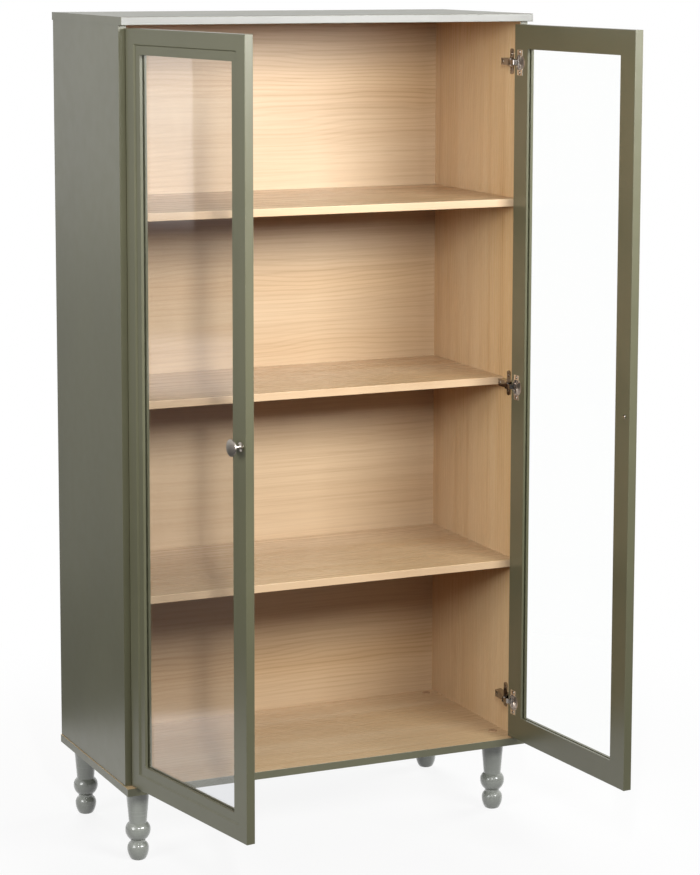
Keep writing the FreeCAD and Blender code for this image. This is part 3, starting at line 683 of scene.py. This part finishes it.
@dataclass
class Carcass:
    """The boards of the cabinet: painted outside, oak inside."""

    paint: SatinPaint = SatinPaint()
    oak: OakVeneer = OakVeneer()
    wall: OakVeneer = SHADED_WALL_OAK
    foil: OakVeneer = BACK_FOIL
    foil_gloss: float = 1.0
    top_edge: SatinPaint = TOP_EDGE_HIGHLIGHT
    edge_band: Colour = linear(216, 184, 152)
    edge_band_share: float = 0.6

    def dress(self) -> None:
        """Dresses the panels, the shelves and the hidden pieces that join them."""
        faces = {"left_side_panel": PanelFaces(Axis.X, 1, Axis.Z, Axis.Y),
                 "right_side_panel": PanelFaces(Axis.X, -1, Axis.Z, Axis.Y),
                 "bottom_panel": PanelFaces(Axis.Z, 1, Axis.X, Axis.Y),
                 "top_panel": PanelFaces(Axis.Z, -1, Axis.X, Axis.Y, self.top_edge)}
        for node, face in faces.items():
            # The side walls take the warmer, darker copy of the oak, which is painted shade
            veneer = self.wall if face.axis is Axis.X else self.oak
            dress(node, face.material(f"{node}_faces", self.paint, veneer))
        shelf_oak = self.shelf_material()
        for level in ("upper", "middle", "lower"):
            dress(f"{level}_shelf", shelf_oak)
        dress("back_panel", self.back_material())
        dress("carcass_dowels", self.oak.material("dowel_beech", Axis.Z, Axis.X))
        steel = ZINC_STEEL.material("zinc_steel")
        for node in ("back_panel_screws", "leg_bolts", "shelf_pins"):
            dress(node, steel)

    def shelf_material(self) -> bpy.types.Material:
        """Makes the shelves' material: oak with a paler band along the front edge.

        Returns:
            The finished material.
        """
        graph = new_graph("shelf_oak")
        front = graph.facing(Axis.Y, -1)
        veneer = self.oak.surface(graph, Axis.X, Axis.Y)
        band = veneer._replace(colour=graph.mix(self.edge_band_share, veneer.colour, self.edge_band))
        return graph.close(graph.choose(front, veneer, band), self.oak.relief)

    def back_material(self) -> bpy.types.Material:
        """Makes the back's material: oak towards the front, raw board behind.

        Returns:
            The finished material.
        """
        graph = new_graph("back_panel_faces")
        behind = graph.facing(Axis.Y, 1)
        veneer = self.foil.surface(graph, Axis.X, Axis.Z)
        surface = graph.choose(behind, veneer, Fibreboard().surface(graph))
        return graph.close(surface, self.foil.relief, Specular_IOR_Level=self.foil_gloss)


@dataclass
class Legs:
    """The turned legs with their glides and bolt caps."""

    lacquer: Lacquer = Lacquer()

    def dress(self) -> None:
        """Dresses the legs and their small pieces."""
        gloss = self.lacquer.material("leg_lacquer")
        for row in ("front", "rear"):
            for side in Side:
                dress(f"{row}_{side.word}_leg", gloss)
        dress("leg_glides", GLIDE_PLASTIC.material("glide_plastic"))
        dress("leg_bolt_caps", CAP_PLASTIC.material("cap_plastic"))


@dataclass
class Door:
    """One framed glass door with its knob and hinges."""

    side: Side
    paint: bpy.types.Material
    nickel: bpy.types.Material
    pressed: bpy.types.Material
    knob: bpy.types.Material

    def dress(self) -> None:
        """Dresses the frame, the pane, the knob and the hinges."""
        word = self.side.word
        for member in ("hinge_stile", "free_stile", "top_rail", "bottom_rail"):
            dress(f"{word}_door_{member}", self.paint)
        dress(f"{word}_door_glass", PANES[self.side].material(f"{word}_pane"))
        if self.side is Side.LEFT:
            dress("left_knob", self.knob)
        stile_screw = "knob_screw" if self.side is Side.LEFT else "door_screw"
        for piece in ("hinge_plates", "hinge_arms", "arm_pins", "hinge_links", "cup_pins",
                      "hinge_plate_screws", "hinge_arm_screws", "cup_screws", stile_screw):
            dress(f"{word}_{piece}", self.nickel)
        dress(f"{word}_hinge_cups", self.pressed)


@dataclass(frozen=True)
class Softbox:
    """A large studio light; its power is in watts and its beam in degrees."""

    name: str
    place: Triple
    size: Pair
    power: float
    aim: Triple = (0.0, 0.0, 1.5)
    beam: float = 90.0
    mirrored: bool = True

    def build(self) -> None:
        """Adds the light, turned towards what it lights."""
        lamp = bpy.data.lights.new(self.name, "AREA")
        lamp.shape = "RECTANGLE"
        lamp.size, lamp.size_y = self.size
        lamp.energy = self.power
        lamp.spread = math.radians(self.beam)
        holder = bpy.data.objects.new(self.name, lamp)
        toward = Vector(self.aim) - Vector(self.place)
        holder.visible_glossy = self.mirrored
        holder.location = self.place
        holder.rotation_euler = toward.to_track_quat("-Z", "Y").to_euler()
        bpy.context.scene.collection.objects.link(holder)
        log.info("placed %s", self.name)


LIGHTS = (
    Softbox("left_softbox", (-1.06, -2.82, 2.18), (0.13, 0.85), 14.2),
    Softbox("right_softbox", (1.22, -2.82, 2.17), (1.56, 0.87), 30.0),
    Softbox("left_reflector", (-3.3, -1.1, 1.9), (1.6, 1.8), 18.0, aim=(-0.35, 0.0, 1.1)),
    Softbox("right_reflector", (3.4, 0.7, 1.7), (1.6, 1.8), 18.0, aim=(0.45, 0.1, 1.0), mirrored=False),
    Softbox("rear_reflector", (0.5, 3.6, 1.9), (2.2, 1.8), 34.0, aim=(0.0, 0.2, 0.9), mirrored=False),
)


@dataclass
class Studio:
    """Floor, lights, surroundings and camera.

    A reach is a pair of distances between which the floor passes from one brightness to the next.
    A sheen is the brightness that shiny surfaces mirror there.
    Angles are in degrees, and the picture's centre and focal length in pixels.
    """

    floor_size: float = 400.0
    floor_white: float = 0.86
    floor_grey: float = 0.2
    floor_pale: float = 0.95
    shadow_reach: Pair = (0.6, 1.8)
    fill: float = 0.02
    paper_sheen: float = 1.0
    paper_reach: Pair = (1.66, 1.8592)
    paper_stretch: Triple = (1.0, 1.6, 1.0)
    dark_sheen: float = 0.18
    dark_reach: Pair = (2.3, 2.99)
    middle_sheen: float = 0.36
    strip_sheen: float = 0.75
    strip_near: Pair = (5.8, 6.3)
    strip_far: Pair = (7.4, 8.2)
    aside_sheen: float = 0.06
    aside_reach: Pair = (0.3, 1.2)
    front_sheen: float = 0.3
    front_reach: Pair = (-0.8, -0.25)
    backdrop_reach: Pair = (12.0, 14.4)
    backdrop_beside: float = 0.3
    backdrop_edge: float = 40.1
    edge_start: Triple = (-0.41, -0.2, 0.0)
    edge_reach: Pair = (-0.02, 0.02)
    camera_place: Triple = (-2.210285, -4.92613, 1.83254)
    camera_turn: float = 24.842
    camera_tilt: float = 7.735
    camera_roll: float = 0.18
    camera_sight: float = 1600.0
    focal_pixels: float = 2702.24
    centre_across: float = 368.67
    centre_down: float = 315.0

    def build(self) -> None:
        """Builds the whole studio."""
        self.build_floor()
        self.build_world()
        for light in LIGHTS:
            light.build()
        self.build_camera()

    def build_floor(self) -> None:
        """Adds a wide pale floor that still takes the bookcase's shadow."""
        corners = np.array([[-1, -1, 0], [1, -1, 0], [1, 1, 0], [-1, 1, 0]]) * self.floor_size
        mesh = bpy.data.meshes.new("floor")
        mesh.from_pydata(corners.tolist(), [], [(0, 1, 2, 3)])
        mesh.materials.append(self.floor_material())
        floor = bpy.data.objects.new("floor", mesh)
        bpy.context.scene.collection.objects.link(floor)
        log.info("placed the floor")

    def floor_material(self) -> bpy.types.Material:
        """Makes the floor's material.

        Looked at, the floor is white far off, and near the bookcase partly matt, so that it takes a shadow.
        To the light that it sends back to the bookcase it is a matt grey.
        Shiny surfaces mirror it as papers.

        Returns:
            The finished material.
        """
        graph = new_graph("floor_white")
        path = graph.add("ShaderNodeLightPath").outputs
        looked = graph.math("MAXIMUM", path["Is Camera Ray"], path["Is Transmission Ray"])
        grey = (self.floor_grey, self.floor_grey, self.floor_grey, 1.0)
        pale = (self.floor_pale, self.floor_pale, self.floor_pale, 1.0)
        matt = graph.fill("ShaderNodeBsdfDiffuse", Color=graph.mix(looked, grey, pale))
        plain = graph.fill("ShaderNodeEmission", Color=WHITE)
        distance = graph.measure("LENGTH", graph.here)
        white = graph.ramp(distance, self.shadow_reach, (self.floor_white, 1.0))
        seen = graph.math("MULTIPLY", looked, white)
        mirrored = graph.math("MULTIPLY", path["Is Glossy Ray"], self.mirrored_papers(graph, distance))
        return graph.end(graph.join(graph.math("ADD", seen, mirrored), matt, plain))

    def mirrored_papers(self, graph: Graph, distance: Socket) -> Socket:
        """Works out how bright each place of the floor is in shiny surfaces.

        From the bookcase outwards come a bright paper, a dark ring, a dull floor and a bright backdrop.
        To the left of the backdrop's upright edge the ring is black and the floor has a bright strip.
        The front is dim.

        Args:
            graph: The floor's tree.
            distance: The distance from the middle of the bookcase.

        Returns:
            The brightness from 0 to 1.
        """
        edge = math.radians(self.backdrop_edge)
        crossing = Vector((math.cos(edge), math.sin(edge), 0.0))
        start = crossing.dot(Vector(self.edge_start))
        across = graph.math("SUBTRACT", graph.measure("DOT_PRODUCT", graph.here, crossing), start)
        aside = graph.ramp(across, self.aside_reach)
        paper = graph.measure("LENGTH", graph.stretched(self.paper_stretch))
        near = graph.ramp(paper, self.paper_reach, (self.paper_sheen, 0.0))
        strip = graph.math("MULTIPLY", graph.ramp(distance, self.strip_near, (0.0, self.strip_sheen)),
                           graph.ramp(distance, self.strip_far, (1.0, 0.0)))
        dull = graph.blend(aside, graph.math("ADD", strip, self.aside_sheen), self.middle_sheen)
        dark = graph.math("MULTIPLY", aside, self.dark_sheen)
        middle = graph.blend(graph.ramp(distance, self.dark_reach), dark, dull)
        backdrop = graph.ramp(across, self.edge_reach, (self.backdrop_beside, 1.0))
        bright = graph.blend(graph.ramp(distance, self.backdrop_reach),
                             graph.math("MAXIMUM", near, middle), backdrop)
        front = graph.ramp(graph.part(graph.here, Axis.Y), self.front_reach, (self.front_sheen, 1.0))
        return graph.math("MULTIPLY", bright, front)

    def build_world(self) -> None:
        """Surrounds the scene with white that is seen and mirrored but lights it only softly."""
        world = bpy.data.worlds.new("studio")
        bpy.context.scene.world = world
        graph = Graph(world)
        path = graph.add("ShaderNodeLightPath").outputs
        looked = graph.math("MAXIMUM", path["Is Camera Ray"], path["Is Transmission Ray"])
        shown = graph.math("MAXIMUM", looked, path["Is Glossy Ray"])
        level = graph.blend(shown, self.fill, 1.0)
        graph.end(graph.fill("ShaderNodeBackground", Color=WHITE, Strength=level), "ShaderNodeOutputWorld")

    def build_camera(self) -> None:
        """Adds the camera where the photograph was taken from."""
        data = bpy.data.cameras.new("camera")
        data.sensor_width = SENSOR_WIDTH
        data.lens = self.focal_pixels / IMAGE_HEIGHT * SENSOR_WIDTH
        data.shift_x = (IMAGE_WIDTH / 2 - self.centre_across) / IMAGE_HEIGHT
        data.shift_y = (self.centre_down - IMAGE_HEIGHT / 2) / IMAGE_HEIGHT
        data.clip_end = self.camera_sight
        camera = bpy.data.objects.new("camera", data)
        turn = Matrix.Rotation(-math.radians(self.camera_turn), 4, "Z")
        tilt = Matrix.Rotation(math.radians(LEVEL - self.camera_tilt), 4, "X")
        roll = Matrix.Rotation(math.radians(self.camera_roll), 4, "Z")
        camera.matrix_world = Matrix.Translation(self.camera_place) @ turn @ tilt @ roll
        bpy.context.scene.collection.objects.link(camera)
        bpy.context.scene.camera = camera


def main() -> None:
    """Builds and dresses the bookcase and its studio."""
    logging.basicConfig(level=logging.INFO, format="%(name)s: %(message)s")
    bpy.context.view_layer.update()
    bpy.context.scene.view_settings.view_transform = "Standard"
    paint = SatinPaint().material("sage_paint")
    nickel = HINGE_NICKEL.material("hinge_nickel")
    pressed = PRESSED_NICKEL.material("pressed_nickel")
    knob = BRUSHED_KNOB.material("brushed_knob")
    Carcass().dress()
    Legs().dress()
    for side in Side:
        Door(side, paint, nickel, pressed, knob).dress()
    Studio().build()


if __name__ == "__main__":
    main()
